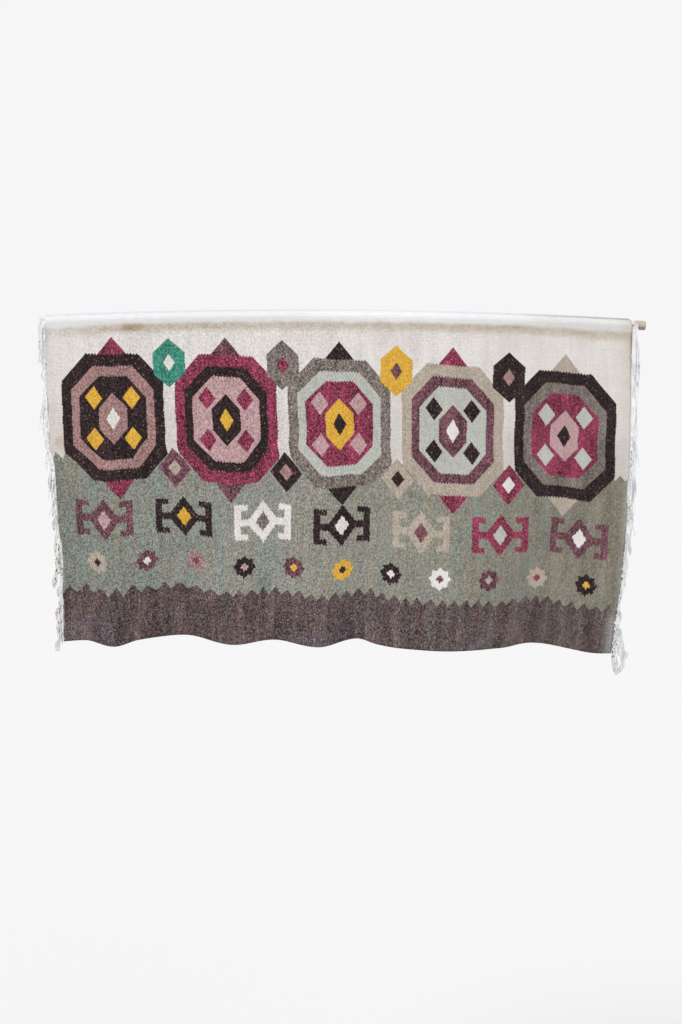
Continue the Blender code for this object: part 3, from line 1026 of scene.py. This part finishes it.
def make_fringe(name, side, tails, node, material):
    """One side's warp ends: knotted in bundles beside the selvedge, with their tails hanging loose."""
    chance = random.Random(side + 5)
    fringe = new_curve(name, YARN_RADIUS, 1)
    edge = [share_of((side + 1) / 2)]
    first = ROD_ARC + STRAND_PITCH * 0.4
    count = int((HEM_RUN - 0.0021 - first) / STRAND_PITCH) + 1
    runs = list(SLEEVE_BUNDLES) + [first + k * STRAND_PITCH for k in range(count)]
    for k, run in enumerate(runs):
        over_rod = run < ROD_ARC
        down = max(k - len(SLEEVE_BUNDLES), 0) / (count - 1)
        row = [read(tails, TAIL_COLUMNS, column, down) for column in TAIL_COLUMNS[1:]]
        length, width, knot, fan, weave = row
        length *= chance.uniform(0.80, 1.15)
        fan *= chance.uniform(0.8, 1.15)
        lane = width * LANES[(len(runs) - 1 - k + (side < 0)) % len(LANES)] * chance.uniform(0.9, 1.1)
        lane = SLEEVE_LANE + lane * 0.3 if over_rod else lane
        root = cloth_row(run, edge)[0]
        out = SLEEVE_KNOT_OUT if over_rod else knot + chance.uniform(-0.0006, 0.0010)
        drop = SLEEVE_KNOT_DOWN if over_rod else KNOT_DOWN + chance.uniform(-0.001, 0.003)
        front = smooth_step(0.48, 0.68, down) if side > 0 else 0.0
        below = cloth_row(min(run + length, HEM_RUN), edge)[0]
        ahead = -root.y * (0.5 + 0.5 * front) + 0.0045 * front + LANE_DEPTH * (k % 2) * (0.6 - 0.4 * front)
        ahead = SLEEVE_KNOT_AHEAD if over_rod else ahead + chance.uniform(-0.001, 0.001)
        heart = Vector((root.x + side * out, -ahead, root.z - drop))
        reach = root.x + (below.x - root.x) * front + side * lane - heart.x
        behind = min(-ahead * 0.6, -0.001)
        depth = behind + (below.y - 0.0040 - behind) * front - 0.0012 * (k % 3) - heart.y
        bow = (k % 2) * weave * 0.005
        tight = 0.0032 if over_rod else 0.0008
        plies = PLIES + round(4 * weave)
        for ply in range(plies):
            across = 2 * ply / (plies - 1) - 1
            own_run = run + across * STRAND_PITCH * (0.22 if over_rod else 0.44)
            start = cloth_row(min(max(own_run, 0.0), HEM_RUN - 0.001), edge)[0]
            turn = math.tau * ply / plies + chance.uniform(-0.4, 0.4)
            fall = (length - 0.003) * chance.uniform(0.72 + 0.12 * weave, 1.06 - 0.04 * weave)
            stray = chance.uniform(-0.0009, 0.0009) + side * STRAY_REACH * (chance.random() < STRAY_SHARE)
            layer = math.sin(turn) * 0.0010
            points = [
                start - Vector((side * 0.002, 0.0, 0.0)),
                start + Vector((side * 0.0010, 0.0, -0.0003)),
                heart + Vector((math.cos(turn) * tight, layer, 0.0)),
            ]
            for share, spread, drift, bend in FALL:
                aside = reach * drift + across * max(fan * spread, tight) + side * bow * bend + stray * share
                points.append(heart + Vector((aside, depth * drift + layer, -fall * share)))
            line = curve_through(points, 16)
            add_tube(fringe, [(spot, YARN_RADIUS * (1.0 if n < 14 else 0.8)) for n, spot in enumerate(line)])
        add_knot(fringe, heart, 0.0017, chance)
        if weave > 0.5:
            second = heart + Vector((reach * 0.8 + side * bow * 0.6, depth * 0.8, -length * 0.32))
            add_knot(fringe, second, 0.0019, chance)
    if side > 0:
        add_loop(fringe, cloth_row(HEM_RUN, edge)[0], chance)
    finish_piece(fringe, material)
    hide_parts(node)
    return fringe


def make_stitches(material):
    """The hand stitches along the sleeve's flap, which show at the back alone."""
    chance = random.Random(11)
    thread = new_curve("sleeve_stitches", STITCH_RADIUS, 1)
    count = int((CLOTH_WIDTH - 0.012) / STITCH_PITCH)
    for k in range(count):
        start = 0.008 + k * STITCH_PITCH + chance.uniform(-0.0008, 0.0008)
        run = -SEAM_RUN - FLAP_LENGTH * 0.5 + chance.uniform(-0.0006, 0.0006)
        slant = chance.uniform(-0.0006, 0.0006)
        stations = []
        for share, proud in STITCH_ARCH:
            across = (start + share * STITCH_LENGTH) / CLOTH_WIDTH
            spot = cloth_row(run + slant * (share - 0.5), [share_of(across)])[0]
            stations.append((spot + Vector((0.0, CLOTH_THICKNESS / 2 + proud, 0.0)), STITCH_RADIUS))
        add_tube(thread, stations)
    finish_piece(thread, material)
    return thread


def studio():
    """Pale floor and room, soft light from the upper front, and the camera."""
    scene = bpy.context.scene
    scene.view_settings.view_transform = "Standard"
    world = bpy.data.worlds.new("room")
    scene.world = world
    world.use_nodes = True
    Term.tree = world.node_tree
    pale = srgb(246, 246, 246)
    backdrop = Term.tree.nodes["Background"]
    backdrop.inputs["Color"].default_value = pale
    around = Term.tree.nodes.new("ShaderNodeBackground")
    around.inputs["Color"].default_value = (1.0, 1.0, 1.0, 1.0)
    around.inputs["Strength"].default_value = ROOM_LIGHT
    rays = Term.tree.nodes.new("ShaderNodeLightPath")
    both = Term.tree.nodes.new("ShaderNodeMixShader")
    Term.tree.links.new(rays.outputs["Is Camera Ray"], both.inputs[0])
    Term.tree.links.new(around.outputs[0], both.inputs[1])
    Term.tree.links.new(backdrop.outputs[0], both.inputs[2])
    Term.tree.links.new(both.outputs[0], Term.tree.nodes["World Output"].inputs[0])

    bpy.ops.mesh.primitive_plane_add(size=60.0, location=(0.0, 0.0, FLOOR_HEIGHT))
    ground = bpy.context.object
    ground.name = "floor"
    made, shader = new_material("floor_paint", 1.0, 0.0)
    shader.inputs["Base Color"].default_value = (0.892, 0.892, 0.892, 1.0)
    shader.inputs["Specular IOR Level"].default_value = 0.0
    ground.data.materials.append(made)

    for name, energy, spread, elevation, azimuth in SUNS:
        light = bpy.data.lights.new(name, "SUN")
        light.energy = energy
        light.angle = math.radians(spread)
        lamp = bpy.data.objects.new(name, light)
        lamp.rotation_euler = (math.radians(90 - elevation), 0.0, math.radians(azimuth))
        scene.collection.objects.link(lamp)

    lens = bpy.data.cameras.new("camera")
    lens.lens = CAMERA_LENS
    lens.sensor_width = 36.0
    camera = bpy.data.objects.new("camera", lens)
    camera.location = CAMERA_PLACE
    camera.rotation_euler = (math.radians(CAMERA_TILT), 0.0, 0.0)
    scene.collection.objects.link(camera)
    scene.camera = camera


wool = kilim()
yarn = cotton()
cloth = make_cloth(wool)
make_rod(rod_wood())
fringe_left = make_fringe("warp_ends_left", -1, LEFT_TAILS, "fringe_left", yarn)
fringe_right = make_fringe("warp_ends_right", 1, RIGHT_TAILS, "fringe_right", yarn)
stitches = make_stitches(yarn)
studio()
